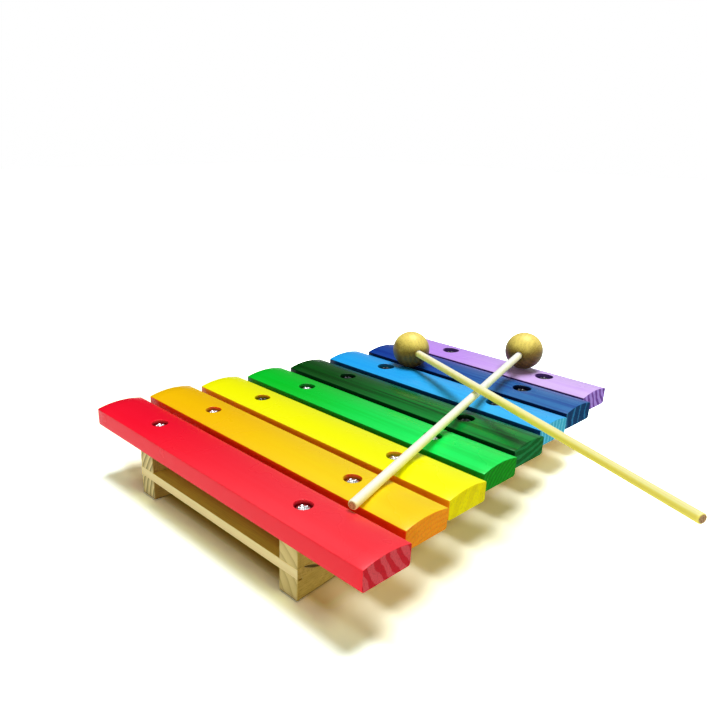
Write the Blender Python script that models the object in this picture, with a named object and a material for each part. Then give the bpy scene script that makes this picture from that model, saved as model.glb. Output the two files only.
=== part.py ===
"""Toy xylophone: painted wooden bars screwed to a tapering pine stand, with two mallets lying on them.

While it is modelled, X runs along the row of bars from the lowest note to the highest, Y along the bars
away from the player, and Z up, with zero on the table under the middle of the first bar. At the end the
whole part is moved so that its origin is the middle of its base.
"""
import math

import bmesh
import bpy
from mathutils import Vector

MM = 0.001
WELD_DISTANCE = 0.001 * MM

# Clearances
SEAT_GAP = 0.3 * MM
FIT_GAP = 0.3 * MM
CUT_OVERRUN = 1.0 * MM

# Bars, from the lowest note to the highest
BAR_FINISHES = (
    ("red", (0.85, 0.02, 0.05)),
    ("orange", (0.95, 0.42, 0.01)),
    ("yellow", (0.95, 0.83, 0.01)),
    ("green", (0.02, 0.52, 0.08)),
    ("dark_green", (0.01, 0.14, 0.04)),
    ("light_blue", (0.03, 0.32, 0.85)),
    ("dark_blue", (0.01, 0.05, 0.28)),
    ("violet", (0.36, 0.16, 0.80)),
)
BAR_NAMES = [name for name, colour in BAR_FINISHES]
BAR_COUNT = len(BAR_FINISHES)
BAR_WIDTH = 27.6 * MM
BAR_GAP = 4.6 * MM
# The bars were set by hand: how far each lies off its even place, along the row and along the bar
BAR_SHIFT_GAP_SHARES = (-0.10, -0.09, -0.05, 0.0, 0.02, 0.20, 0.30, -0.10)
BAR_SLIDE_GAP_SHARES = (-0.40, 0.20, -0.05, 0.03, 0.0, 0.22, -0.12, 0.18)
BAR_SIDE_HEIGHT = 10.1 * MM
BAR_CROWN_RISE = 1.8 * MM
BAR_TOP_EDGE_RADIUS = 1.1 * MM
BAR_BOTTOM_EDGE_RADIUS = 1.6 * MM
LONGEST_BAR = 204.0 * MM
SHORTEST_BAR = 144.0 * MM

# Screws and their holes
FIRST_SCREW_LINE = 56.6 * MM
LAST_SCREW_LINE = 36.6 * MM
SCREW_HEAD_DIAMETER = 7.4 * MM
SCREW_HEAD_HEIGHT = 2.4 * MM
SCREW_HEAD_RIM_SHARE = 0.38
SCREW_SHANK_DIAMETER = 3.5 * MM
SCREW_POINT_LENGTH = 3.0 * MM
SCREW_TURN_STEP = math.radians(137.5)
SCREW_BITE_SHARE = 0.80
PILOT_SPARE_DEPTH = 0.5 * MM
COUNTERBORE_ROOM = 0.8 * MM
# The short bars' holes are the wider ones: how much of that room each bar has
COUNTERBORE_ROOM_SHARES = (0.75, 0.75, 1.0, 1.5, 1.5, 2.2, 2.2, 2.4)
COUNTERBORE_FLOOR_SHARE = 0.67
SHANK_ROOM = 0.55 * MM
RECESS_SPAN_SHARE = 0.57
RECESS_SLOT_SHARE = 0.15
RECESS_DEPTH_SHARE = 0.58
RECESS_FOOT_SHARE = 0.45

# Stand
RAIL_WIDTH = 12.0 * MM
RAIL_HEIGHT = 28.6 * MM
RAIL_END_MARGIN = 9.6 * MM
RAIL_ARRIS = 0.7 * MM
CROSS_BOARD_THICKNESS = 4.9 * MM
CROSS_BOARD_DEPTH = 15.0 * MM
CROSS_BOARD_UNDERSIDE_SHARE = 0.39
CROSS_BOARD_ARRIS = 0.4 * MM

# Mallets
HEAD_DIAMETER = 24.0 * MM
HEAD_BORE_SHARE = 0.67
HEAD_MOUTH_CHAMFER = 0.5 * MM
STICK_DIAMETER = 4.6 * MM
STICK_TIP_CHAMFER = 0.7 * MM
LOWER_MALLET_REACH = 223.0 * MM
LOWER_HEAD_PAST_LAST_BAR = 3.0 * MM
LOWER_HEAD_Y = -18.5 * MM
LOWER_STICK_TURN = math.radians(14.07)
UPPER_MALLET_REACH = 239.0 * MM
UPPER_HEAD_AFTER_BAR = "light_blue"
UPPER_HEAD_Y = 35.1 * MM
UPPER_STICK_TURN = math.radians(24.75)

# Facets
CURVE_ANGLE = math.radians(35)
CROWN_STEPS = 12
EDGE_STEPS = 4
HOLE_SEGMENTS = 28
SHANK_SEGMENTS = 16
HEAD_SEGMENTS = 32
HEAD_ARC_STEPS = 16
STICK_SEGMENTS = 20
DOME_STEPS = 3

# Finishes
PINE_COLOUR = (0.72, 0.50, 0.22)
LATH_COLOUR = (0.86, 0.66, 0.32)
BIRCH_COLOUR = (0.90, 0.76, 0.42)
HEAD_COLOUR = (0.68, 0.38, 0.12)
STEEL_COLOUR = (0.75, 0.75, 0.74)
PAINT_ROUGHNESS = 0.30
BARE_WOOD_ROUGHNESS = 0.70
STICK_ROUGHNESS = 0.55
HEAD_ROUGHNESS = 0.35
STEEL_ROUGHNESS = 0.25
STEEL_METALLIC = 1.0


def clear_scene():
    for item in list(bpy.data.objects):
        bpy.data.objects.remove(item, do_unlink=True)


def make_material(name, colour, roughness, metallic=0.0):
    material = bpy.data.materials.new(name)
    material.use_nodes = True
    shader = material.node_tree.nodes["Principled BSDF"]
    shader.inputs["Base Color"].default_value = (*colour, 1.0)
    shader.inputs["Roughness"].default_value = roughness
    shader.inputs["Metallic"].default_value = metallic
    return material


def add_empty(name, parent=None):
    empty = bpy.data.objects.new(name, None)
    bpy.context.scene.collection.objects.link(empty)
    empty.parent = parent
    return empty


def add_piece(name, mesh, parent, material=None):
    piece = bpy.data.objects.new(name, mesh)
    bpy.context.scene.collection.objects.link(piece)
    piece.parent = parent
    if material and not mesh.materials:
        mesh.materials.append(material)
    return piece


def cut(piece, cutter_mesh):
    """Cuts a shape out of a piece. The cutter stays in the piece's place as a hidden guide."""
    cutter = add_piece(piece.name + "_cutter", cutter_mesh, piece)
    cutter.hide_render = True
    cutter.display_type = "WIRE"
    boolean = piece.modifiers.new("cut", "BOOLEAN")
    boolean.operation = "DIFFERENCE"
    boolean.solver = "EXACT"
    boolean.object = cutter


def add_arris(piece, width, segments):
    """Takes the sharp edges off a sawn piece."""
    bevel = piece.modifiers.new("arris", "BEVEL")
    bevel.width = width
    bevel.segments = segments
    bevel.limit_method = "ANGLE"


def finish_mesh(shape, name, smooth_angle=None):
    """Turns a bmesh into a mesh with its faces pointing out."""
    bmesh.ops.recalc_face_normals(shape, faces=shape.faces)
    mesh = bpy.data.meshes.new(name)
    shape.to_mesh(mesh)
    shape.free()
    if smooth_angle is not None:
        mesh.shade_smooth()
        mesh.set_sharp_from_angle(angle=smooth_angle)
    return mesh


def add_prism(shape, outline, direction, end_share=1.0):
    """Adds a flat outline extruded along a direction, with its far end drawn in to a share of its size."""
    face = shape.faces.new([shape.verts.new(point) for point in outline])
    centre = face.calc_center_median()
    extruded = bmesh.ops.extrude_face_region(shape, geom=[face], use_keep_orig=True)["geom"]
    for vert in [part for part in extruded if isinstance(part, bmesh.types.BMVert)]:
        vert.co = centre + (vert.co - centre) * end_share + direction


def add_copy(shape, mesh, place):
    """Adds a copy of a mesh to a bmesh, moved to a place."""
    kept = len(shape.verts)
    shape.from_mesh(mesh)
    shape.verts.ensure_lookup_table()
    bmesh.ops.translate(shape, vec=place, verts=shape.verts[kept:])


def turned_mesh(name, profile, segments, smooth_angle=None):
    """A solid turned round Z from (radius, height) points that start and end on the axis."""
    shape = bmesh.new()
    points = [shape.verts.new((radius, 0.0, height)) for radius, height in profile]
    edges = [shape.edges.new(pair) for pair in zip(points, points[1:])]
    bmesh.ops.spin(
        shape,
        geom=points + edges,
        cent=(0.0, 0.0, 0.0),
        axis=(0.0, 0.0, 1.0),
        angle=math.tau,
        steps=segments,
        use_merge=True,
    )
    bmesh.ops.remove_doubles(shape, verts=shape.verts, dist=WELD_DISTANCE)
    return finish_mesh(shape, name, smooth_angle)


def arc(centre, radius, start, end, steps):
    """Points of an arc in a flat section, both ends included."""
    turns = [start + (end - start) * step / steps for step in range(steps + 1)]
    return [(centre[0] + radius * math.cos(turn), centre[1] + radius * math.sin(turn)) for turn in turns]


# Places that several pieces share

def even_x(index):
    return index * (BAR_WIDTH + BAR_GAP)


def bar_x(index):
    return even_x(index) + BAR_GAP * BAR_SHIFT_GAP_SHARES[index]


def bar_slide(index):
    """How far the middle of a bar lies off the middle of the row, along the bar."""
    return BAR_GAP * BAR_SLIDE_GAP_SHARES[index]


def bar_length(index):
    return LONGEST_BAR + (SHORTEST_BAR - LONGEST_BAR) * index / (BAR_COUNT - 1)


def screw_line(x):
    """Distance of a row of screws from the middle of the bars. Each rail runs under one row."""
    return FIRST_SCREW_LINE + (LAST_SCREW_LINE - FIRST_SCREW_LINE) * x / even_x(BAR_COUNT - 1)


RAIL_TAPER = math.atan2(FIRST_SCREW_LINE - LAST_SCREW_LINE, even_x(BAR_COUNT - 1))
RAIL_HALF_WIDTH_ACROSS = RAIL_WIDTH / 2 / math.cos(RAIL_TAPER)
STAND_START = -RAIL_END_MARGIN
STAND_END = even_x(BAR_COUNT - 1) + RAIL_END_MARGIN
BAR_UNDERSIDE = RAIL_HEIGHT + SEAT_GAP
CROSS_BOARD_UNDERSIDE = RAIL_HEIGHT * CROSS_BOARD_UNDERSIDE_SHARE
CROSS_BOARD_TOP = CROSS_BOARD_UNDERSIDE + CROSS_BOARD_THICKNESS

# The crown is one shallow arc across the bar, and a small round joins it to each side
HALF_BAR = BAR_WIDTH / 2
BAR_HEIGHT = BAR_SIDE_HEIGHT + BAR_CROWN_RISE
CROWN_RADIUS = (HALF_BAR ** 2 + BAR_CROWN_RISE ** 2) / (2 * BAR_CROWN_RISE)
CROWN_CENTRE_HEIGHT = BAR_HEIGHT - CROWN_RADIUS
EDGE_CENTRE_OUT = HALF_BAR - BAR_TOP_EDGE_RADIUS
EDGE_CENTRE_RISE = math.sqrt((CROWN_RADIUS - BAR_TOP_EDGE_RADIUS) ** 2 - EDGE_CENTRE_OUT ** 2)
EDGE_CENTRE_HEIGHT = CROWN_CENTRE_HEIGHT + EDGE_CENTRE_RISE
CROWN_START = math.atan2(EDGE_CENTRE_RISE, EDGE_CENTRE_OUT)
CROWN_END = math.pi - CROWN_START

# Each screw's head sits on the floor of its counterbore, and its shank ends above the cross boards' slots
COUNTERBORE_FLOOR = BAR_HEIGHT * COUNTERBORE_FLOOR_SHARE
SCREW_BITE = (RAIL_HEIGHT - CROSS_BOARD_TOP - FIT_GAP) * SCREW_BITE_SHARE
SCREW_LENGTH = SCREW_BITE + SEAT_GAP + COUNTERBORE_FLOOR + SEAT_GAP


def crown():
    """Points of the bar's crown, in its cross-section, from right to left."""
    return arc((0.0, CROWN_CENTRE_HEIGHT), CROWN_RADIUS, CROWN_START, CROWN_END, CROWN_STEPS)


def bar_outline():
    """The bar's cross-section, anticlockwise from the right end of its flat underside."""
    quarter = math.pi / 2
    foot, edge = BAR_BOTTOM_EDGE_RADIUS, BAR_TOP_EDGE_RADIUS
    foot_out = HALF_BAR - foot
    right_foot = arc((foot_out, foot), foot, -quarter, 0.0, EDGE_STEPS)
    right_edge = arc((EDGE_CENTRE_OUT, EDGE_CENTRE_HEIGHT), edge, 0.0, CROWN_START, EDGE_STEPS)
    left_edge = arc((-EDGE_CENTRE_OUT, EDGE_CENTRE_HEIGHT), edge, CROWN_END, math.pi, EDGE_STEPS)
    left_foot = arc((-foot_out, foot), foot, math.pi, 3 * quarter, EDGE_STEPS)
    return right_foot + right_edge + crown()[1:-1] + left_edge + left_foot


def bar_hole_mesh(index):
    """The stepped hole for a bar's screw: clearance for the shank, and a counterbore that sinks the head."""
    hole = SCREW_SHANK_DIAMETER / 2 + SHANK_ROOM
    counterbore = SCREW_HEAD_DIAMETER / 2 + COUNTERBORE_ROOM * COUNTERBORE_ROOM_SHARES[index]
    profile = [
        (0.0, -CUT_OVERRUN),
        (hole, -CUT_OVERRUN),
        (hole, COUNTERBORE_FLOOR),
        (counterbore, COUNTERBORE_FLOOR),
        (counterbore, BAR_HEIGHT + CUT_OVERRUN),
        (0.0, BAR_HEIGHT + CUT_OVERRUN),
    ]
    return turned_mesh("bar_hole", profile, HOLE_SEGMENTS)


def make_bars(stand):
    outline = bar_outline()
    for index, (colour_name, colour) in enumerate(BAR_FINISHES):
        name = f"bar_{index + 1}_{colour_name}"
        length = bar_length(index)
        shape = bmesh.new()
        add_prism(shape, [(x, -length / 2, z) for x, z in outline], Vector((0.0, length, 0.0)))
        mesh = finish_mesh(shape, name, CURVE_ANGLE)
        bar = add_piece(name, mesh, stand, make_material(colour_name + "_paint", colour, PAINT_ROUGHNESS))
        bar.location = (bar_x(index), bar_slide(index), BAR_UNDERSIDE)
        hole = bar_hole_mesh(index)
        holes = bmesh.new()
        for side in (-1, 1):
            hole_y = side * screw_line(bar_x(index)) - bar_slide(index)
            add_copy(holes, hole, Vector((0.0, hole_y, 0.0)))
        cut(bar, finish_mesh(holes, name + "_holes"))


def screw_mesh():
    """A pan-head wood screw, pointing down, with the underside of its head at zero."""
    head = SCREW_HEAD_DIAMETER / 2
    shank = SCREW_SHANK_DIAMETER / 2
    rim = SCREW_HEAD_HEIGHT * SCREW_HEAD_RIM_SHARE
    dome = [
        (head * math.cos(turn), rim + (SCREW_HEAD_HEIGHT - rim) * math.sin(turn))
        for turn in (math.pi / 2 * step / DOME_STEPS for step in range(DOME_STEPS))
    ]
    profile = [
        (0.0, -SCREW_LENGTH),
        (shank, SCREW_POINT_LENGTH - SCREW_LENGTH),
        (shank, 0.0),
        (head, 0.0),
        *dome,
        (0.0, SCREW_HEAD_HEIGHT),
    ]
    return turned_mesh("screw", profile, SHANK_SEGMENTS, CURVE_ANGLE)


def recess_mesh():
    """The cross-shaped driver recess, narrowing downwards."""
    arm = SCREW_HEAD_DIAMETER / 2 * RECESS_SPAN_SHARE
    half_slot = SCREW_HEAD_DIAMETER / 2 * RECESS_SLOT_SHARE
    depth = SCREW_HEAD_HEIGHT * RECESS_DEPTH_SHARE
    quarter_outline = [(arm, -half_slot), (arm, half_slot), (half_slot, half_slot)]
    outline = []
    for _ in range(4):
        outline += quarter_outline
        quarter_outline = [(-y, x) for x, y in quarter_outline]
    top = SCREW_HEAD_HEIGHT + CUT_OVERRUN
    drop = Vector((0.0, 0.0, -(CUT_OVERRUN + depth)))
    shape = bmesh.new()
    add_prism(shape, [(x, y, top) for x, y in outline], drop, RECESS_FOOT_SHARE)
    return finish_mesh(shape, "recess")


def make_screws(stand):
    steel = make_material("screw_steel", STEEL_COLOUR, STEEL_ROUGHNESS, STEEL_METALLIC)
    mesh = screw_mesh()
    recess = recess_mesh()
    head_seat = BAR_UNDERSIDE + COUNTERBORE_FLOOR + SEAT_GAP
    for index in range(BAR_COUNT):
        for row, side in (("front", -1), ("back", 1)):
            screw = add_piece(f"screw_{row}_{index + 1}", mesh, stand, steel)
            screw.location = (bar_x(index), side * screw_line(bar_x(index)), head_seat)
            screw.rotation_euler = (0.0, 0.0, (2 * index + side) * SCREW_TURN_STEP)
            cut(screw, recess)


def rail_outline(side):
    """A rail's plan: it follows its row of screws, and its ends are cut in line with the bars."""
    start, end = screw_line(STAND_START), screw_line(STAND_END)
    return [
        (STAND_START, side * (start - RAIL_HALF_WIDTH_ACROSS)),
        (STAND_END, side * (end - RAIL_HALF_WIDTH_ACROSS)),
        (STAND_END, side * (end + RAIL_HALF_WIDTH_ACROSS)),
        (STAND_START, side * (start + RAIL_HALF_WIDTH_ACROSS)),
    ]


def pilot_mesh():
    """The blind hole that a screw is driven into, from above the rail."""
    radius = SCREW_SHANK_DIAMETER / 2 + FIT_GAP
    foot = -(SCREW_BITE + PILOT_SPARE_DEPTH)
    profile = [
        (0.0, foot),
        (radius, foot + SCREW_POINT_LENGTH),
        (radius, CUT_OVERRUN),
        (0.0, CUT_OVERRUN),
    ]
    return turned_mesh("pilot", profile, SHANK_SEGMENTS)


def slot_outline(start, end):
    """Plan of the slot that lets a cross board into both rails."""
    past_rail = screw_line(STAND_START) + RAIL_WIDTH + CUT_OVERRUN
    return [(start, -past_rail), (end, -past_rail), (end, past_rail), (start, past_rail)]


def make_rails(stand):
    pine = make_material("pine", PINE_COLOUR, BARE_WOOD_ROUGHNESS)
    pilot = pilot_mesh()
    slot_height = FIT_GAP + CROSS_BOARD_THICKNESS + FIT_GAP
    slot_reach = CROSS_BOARD_DEPTH + FIT_GAP
    slots = (
        (STAND_START - CUT_OVERRUN, STAND_START + slot_reach),
        (STAND_END - slot_reach, STAND_END + CUT_OVERRUN),
    )
    for name, side in (("front_rail", -1), ("back_rail", 1)):
        shape = bmesh.new()
        add_prism(shape, [(x, y, 0.0) for x, y in rail_outline(side)], Vector((0.0, 0.0, RAIL_HEIGHT)))
        rail = add_piece(name, finish_mesh(shape, name), stand, pine)
        add_arris(rail, RAIL_ARRIS, 2)
        cuts = bmesh.new()
        for index in range(BAR_COUNT):
            add_copy(cuts, pilot, Vector((bar_x(index), side * screw_line(bar_x(index)), RAIL_HEIGHT)))
        for start, end in slots:
            outline = [(x, y, CROSS_BOARD_UNDERSIDE - FIT_GAP) for x, y in slot_outline(start, end)]
            add_prism(cuts, outline, Vector((0.0, 0.0, slot_height)))
        cut(rail, finish_mesh(cuts, name + "_cuts"))


def make_cross_boards(stand):
    """A thin board at each end, let into slots in both rails and flush with their outsides and ends."""
    lath = make_material("lath", LATH_COLOUR, BARE_WOOD_ROUGHNESS)
    boards = (
        ("left_cross_board", STAND_START, STAND_START + CROSS_BOARD_DEPTH),
        ("right_cross_board", STAND_END - CROSS_BOARD_DEPTH, STAND_END),
    )
    for name, start, end in boards:
        half_start = screw_line(start) + RAIL_HALF_WIDTH_ACROSS
        half_end = screw_line(end) + RAIL_HALF_WIDTH_ACROSS
        outline = [(start, -half_start), (end, -half_end), (end, half_end), (start, half_start)]
        shape = bmesh.new()
        points = [(x, y, CROSS_BOARD_UNDERSIDE) for x, y in outline]
        add_prism(shape, points, Vector((0.0, 0.0, CROSS_BOARD_THICKNESS)))
        board = add_piece(name, finish_mesh(shape, name), stand, lath)
        add_arris(board, CROSS_BOARD_ARRIS, 1)


def head_mesh():
    """A turned wooden ball, bored from one side for its stick. The stick leaves it along Z."""
    radius = HEAD_DIAMETER / 2
    bore = STICK_DIAMETER / 2 + FIT_GAP
    mouth = bore + HEAD_MOUTH_CHAMFER
    mouth_turn = math.acos(mouth / radius)
    mouth_height = radius * math.sin(mouth_turn)
    bore_foot = radius - HEAD_DIAMETER * HEAD_BORE_SHARE
    outside = arc((0.0, 0.0), radius, mouth_turn, -math.pi / 2, HEAD_ARC_STEPS)
    profile = [
        (0.0, bore_foot),
        (bore, bore_foot),
        (bore, mouth_height - HEAD_MOUTH_CHAMFER),
        *outside[:-1],
        (0.0, -radius),
    ]
    return turned_mesh("mallet_head", profile, HEAD_SEGMENTS, CURVE_ANGLE)


def stick_mesh(name, reach):
    """A dowel from the foot of the head's bore to the mallet's reach, measured from the head's middle."""
    radius = STICK_DIAMETER / 2
    foot = HEAD_DIAMETER / 2 - HEAD_DIAMETER * HEAD_BORE_SHARE + FIT_GAP
    tip = radius - STICK_TIP_CHAMFER
    profile = [(0.0, foot), (radius, foot), (radius, reach - STICK_TIP_CHAMFER), (tip, reach), (0.0, reach)]
    return turned_mesh(name, profile, STICK_SEGMENTS, CURVE_ANGLE)


def lower_mallet_pose():
    """Middle and direction of the mallet with its head on the last bar and its stick on the low ones."""
    x = bar_x(BAR_COUNT - 1) + LOWER_HEAD_PAST_LAST_BAR
    touch = CROWN_RADIUS + HEAD_DIAMETER / 2 + SEAT_GAP
    z = BAR_UNDERSIDE + CROWN_CENTRE_HEIGHT + math.sqrt(touch ** 2 - LOWER_HEAD_PAST_LAST_BAR ** 2)
    falls = []
    for index in range(BAR_COUNT - 1):
        for across, rise in crown():
            run = (x - bar_x(index) - across) / math.cos(LOWER_STICK_TURN)
            height = z - BAR_UNDERSIDE - rise - SEAT_GAP
            lean = math.acos(STICK_DIAMETER / 2 / math.hypot(height, run))
            if run < LOWER_MALLET_REACH:
                falls.append(lean - math.atan2(run, height))
    fall = min(falls)
    flat = Vector((-math.cos(LOWER_STICK_TURN), -math.sin(LOWER_STICK_TURN), 0.0))
    direction = flat * math.cos(fall) + Vector((0.0, 0.0, -math.sin(fall)))
    return Vector((x, LOWER_HEAD_Y, z)), direction


def upper_mallet_pose(lower_middle, lower_direction):
    """Middle and direction of the mallet with its head between two bars and its stick on the other one."""
    before = BAR_NAMES.index(UPPER_HEAD_AFTER_BAR)
    x = (bar_x(before) + bar_x(before + 1)) / 2
    touch = HEAD_DIAMETER / 2 + BAR_TOP_EDGE_RADIUS + SEAT_GAP
    edge_away = (bar_x(before + 1) - bar_x(before)) / 2 - EDGE_CENTRE_OUT
    z = BAR_UNDERSIDE + EDGE_CENTRE_HEIGHT + math.sqrt(touch ** 2 - edge_away ** 2)
    middle = Vector((x, UPPER_HEAD_Y, z))
    flat = Vector((-math.sin(UPPER_STICK_TURN), -math.cos(UPPER_STICK_TURN), 0.0))
    between = lower_middle - middle
    crossed = flat.x * lower_direction.y - flat.y * lower_direction.x
    run = (between.x * lower_direction.y - between.y * lower_direction.x) / crossed
    lower_run = (between.x * flat.y - between.y * flat.x) / crossed
    crossing_height = lower_middle.z + lower_run * lower_direction.z + STICK_DIAMETER + SEAT_GAP
    rise = math.atan2(crossing_height - z, run)
    return middle, flat * math.cos(rise) + Vector((0.0, 0.0, math.sin(rise)))


def make_mallets(root):
    head_wood = make_material("varnished_wood", HEAD_COLOUR, HEAD_ROUGHNESS)
    birch = make_material("birch", BIRCH_COLOUR, STICK_ROUGHNESS)
    ball = head_mesh()
    lower_middle, lower_direction = lower_mallet_pose()
    upper_middle, upper_direction = upper_mallet_pose(lower_middle, lower_direction)
    mallets = (
        ("lower_mallet", lower_middle, lower_direction, LOWER_MALLET_REACH),
        ("upper_mallet", upper_middle, upper_direction, UPPER_MALLET_REACH),
    )
    for name, middle, direction, reach in mallets:
        holder = add_empty(name, root)
        holder.location = middle
        holder.rotation_euler = direction.to_track_quat("Z", "Y").to_euler()
        add_piece(name + "_head", ball, holder, head_wood)
        add_piece(name + "_stick", stick_mesh(name + "_stick", reach), holder, birch)


def centre_on_base(root):
    """Moves the whole part so that its origin is the middle of the box round it, at its base."""
    bpy.context.view_layer.update()
    graph = bpy.context.evaluated_depsgraph_get()
    corners = []
    for piece in bpy.data.objects:
        if piece.type == "MESH" and not piece.hide_render:
            solid = piece.evaluated_get(graph)
            corners += [solid.matrix_world @ vert.co for vert in solid.data.vertices]
    low = [min(corner[axis] for corner in corners) for axis in range(3)]
    high = [max(corner[axis] for corner in corners) for axis in range(3)]
    root.location = (-(low[0] + high[0]) / 2, -(low[1] + high[1]) / 2, -low[2])
    bpy.context.view_layer.update()


clear_scene()
xylophone = add_empty("xylophone")
stand = add_empty("stand", xylophone)
make_rails(stand)
make_cross_boards(stand)
make_bars(stand)
make_screws(stand)
make_mallets(xylophone)
centre_on_base(xylophone)
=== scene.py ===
"""Toy xylophone, dressed for its picture: painted bars on a pine stand, and two wooden mallets on them.

X runs along the row of bars from low notes to high, Y along the bars away from the player, Z up, in metres.
"""
import math

import bmesh
import bpy
import numpy as np
from mathutils import Matrix, Vector, noise


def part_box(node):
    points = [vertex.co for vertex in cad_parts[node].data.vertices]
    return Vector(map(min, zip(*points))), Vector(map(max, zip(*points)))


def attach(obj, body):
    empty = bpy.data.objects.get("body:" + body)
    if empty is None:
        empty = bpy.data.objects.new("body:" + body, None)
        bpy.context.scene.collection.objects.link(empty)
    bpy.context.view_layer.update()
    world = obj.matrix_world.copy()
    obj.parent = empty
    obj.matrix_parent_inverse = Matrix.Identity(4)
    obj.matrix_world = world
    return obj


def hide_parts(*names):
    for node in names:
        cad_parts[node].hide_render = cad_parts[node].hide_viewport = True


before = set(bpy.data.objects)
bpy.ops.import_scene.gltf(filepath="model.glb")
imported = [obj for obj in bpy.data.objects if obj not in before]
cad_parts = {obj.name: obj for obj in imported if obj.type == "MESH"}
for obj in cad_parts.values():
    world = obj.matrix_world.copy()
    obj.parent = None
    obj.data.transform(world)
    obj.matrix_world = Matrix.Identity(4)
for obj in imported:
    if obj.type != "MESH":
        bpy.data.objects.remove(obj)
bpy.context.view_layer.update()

# Bars
# Softwood laths, planed to a low crown along the top, sawn square and sprayed with glossy paint.
# Each has a counterbored hole near either end, where a screw holds it down on a rail of the stand.
MM = 0.001
BAR_SIDE_HEIGHT = 10.1 * MM
BAR_CROWN_RISE = 1.8 * MM
BAR_TOP_RADIUS = 0.65 * MM
BAR_FOOT_RADIUS = 1.6 * MM
BAR_END_RADIUS = 0.40 * MM
BAR_RAGGEDNESS = 0.12 * MM
BAR_SANDING = 0.05 * MM
COUNTERBORE_RADII = [radius * MM for radius in (4.30, 4.30, 4.50, 4.90, 4.90, 5.46, 5.46, 5.62)]
COUNTERBORE_LIP = 0.30 * MM
COUNTERBORE_FLOOR = 7.98 * MM
# Half the side of the square of finer points round each hole, and how many points it has on a side
HOLE_PATCH = 8.0 * MM
HOLE_PATCH_STEPS = 16
BAR_STATION_STEP = 7.0 * MM
PAINT_RELIEF = 0.022 * MM
SAWN_RELIEF = 0.20 * MM

# For each bar: its finish, the top's colour at the far and at the near end, where the paler near end is a
# painted sheen, the flanks' colour, which is painted shade between the bars, how streaky the top is, the
# sawn ends' colour and that of their streaks, where the growth rings are centred in the bar's section and
# how wide a ring is, both in millimetres, and how much of a ring is streak
BARS = (
    ("red", (0.99, 0.006, 0.030), (0.99, 0.046, 0.066), (0.97, 0.018, 0.036), 0.10,
     (0.64, 0.015, 0.028), (0.76, 0.085, 0.105), (52, 36), 5.8, 0.55),
    ("orange", (1.00, 0.57, 0.001), (1.00, 0.72, 0.010), (0.98, 0.080, 0.004), 0.10,
     (1.00, 0.36, 0.014), (0.98, 0.29, 0.010), (8, -34), 2.6, 0.34),
    ("yellow", (1.00, 1.00, 0.001), (1.00, 1.00, 0.001), (1.00, 0.360, 0.006), 0.04,
     (0.96, 0.86, 0.001), (0.88, 0.76, 0.001), (-34, 22), 9.0, 0.50),
    ("green", (0.001, 0.60, 0.026), (0.010, 0.94, 0.130), (0.001, 0.280, 0.020), 0.30,
     (0.010, 0.36, 0.012), (0.004, 0.22, 0.004), (30, -22), 2.6, 0.45),
    ("dark_green", (0.001, 0.075, 0.004), (0.001, 0.280, 0.034), (0.001, 0.040, 0.012), 0.80,
     (0.002, 0.120, 0.018), (0.014, 0.230, 0.060), (-10, 58), 4.2, 0.40),
    ("light_blue", (0.015, 0.43, 0.97), (0.050, 0.52, 1.00), (0.004, 0.060, 0.240), 0.30,
     (0.060, 0.50, 0.76), (0.160, 0.68, 0.92), (-60, 8), 3.6, 0.30),
    ("dark_blue", (0.003, 0.055, 0.36), (0.035, 0.185, 0.48), (0.002, 0.012, 0.080), 0.60,
     (0.001, 0.045, 0.150), (0.030, 0.240, 0.520), (66, 10), 7.6, 0.10),
    ("violet", (0.64, 0.34, 1.00), (0.80, 0.56, 1.00), (0.100, 0.030, 0.260), 0.25,
     (0.48, 0.300, 0.90), (0.18, 0.060, 0.40), (46, 34), 4.4, 0.40),
)


def add_node(tree, kind, inputs=None, **settings):
    """Adds a shader node. Inputs are values or the outputs of other nodes, by name or number."""
    added = tree.nodes.new(kind)
    for name, value in settings.items():
        setattr(added, name, value)
    for name, value in (inputs or {}).items():
        if isinstance(value, bpy.types.NodeSocket):
            tree.links.new(value, added.inputs[name])
        else:
            added.inputs[name].default_value = value
    return added


def calc(tree, operation, *values):
    """A number worked out from numbers or the outputs of other nodes."""
    return add_node(tree, "ShaderNodeMath", dict(enumerate(values)), operation=operation).outputs[0]


def calc_vector(tree, operation, *values):
    """A vector worked out from vectors or the outputs of other nodes."""
    return add_node(tree, "ShaderNodeVectorMath", dict(enumerate(values)), operation=operation).outputs[0]


def parts_of(tree, vector):
    """A vector's three parts, by the names X, Y and Z."""
    return add_node(tree, "ShaderNodeSeparateXYZ", {0: vector}).outputs


def facing_of(tree, kind="Normal"):
    """The way the surface faces in the world, in its three parts. A True Normal isn't smoothed."""
    return parts_of(tree, add_node(tree, "ShaderNodeNewGeometry").outputs[kind])


def stored(tree, name, kind="Fac"):
    """What the mesh keeps under a name at every point."""
    return add_node(tree, "ShaderNodeAttribute", attribute_name=name).outputs[kind]


def span(tree, value, low, high, to_low=0.0, to_high=1.0):
    """Turns the range from low to high into another range, easing at both ends."""
    inputs = {"Value": value, "From Min": low, "From Max": high, "To Min": to_low, "To Max": to_high}
    return add_node(tree, "ShaderNodeMapRange", inputs, interpolation_type="SMOOTHSTEP").outputs[0]


def mix(tree, share, first, second):
    """Mixes two colours, given as three numbers or as the outputs of other nodes."""
    colours = [one if isinstance(one, bpy.types.NodeSocket) else (*one, 1.0) for one in (first, second)]
    inputs = {"Fac": share, "Color1": colours[0], "Color2": colours[1]}
    return add_node(tree, "ShaderNodeMixRGB", inputs).outputs[0]


def tint(tree, colour, value, low, high, other, most=1.0):
    """Turns a colour into another one where a value rises from low to high, at most by a share."""
    return mix(tree, span(tree, value, low, high, 0.0, most), colour, other)


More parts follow.
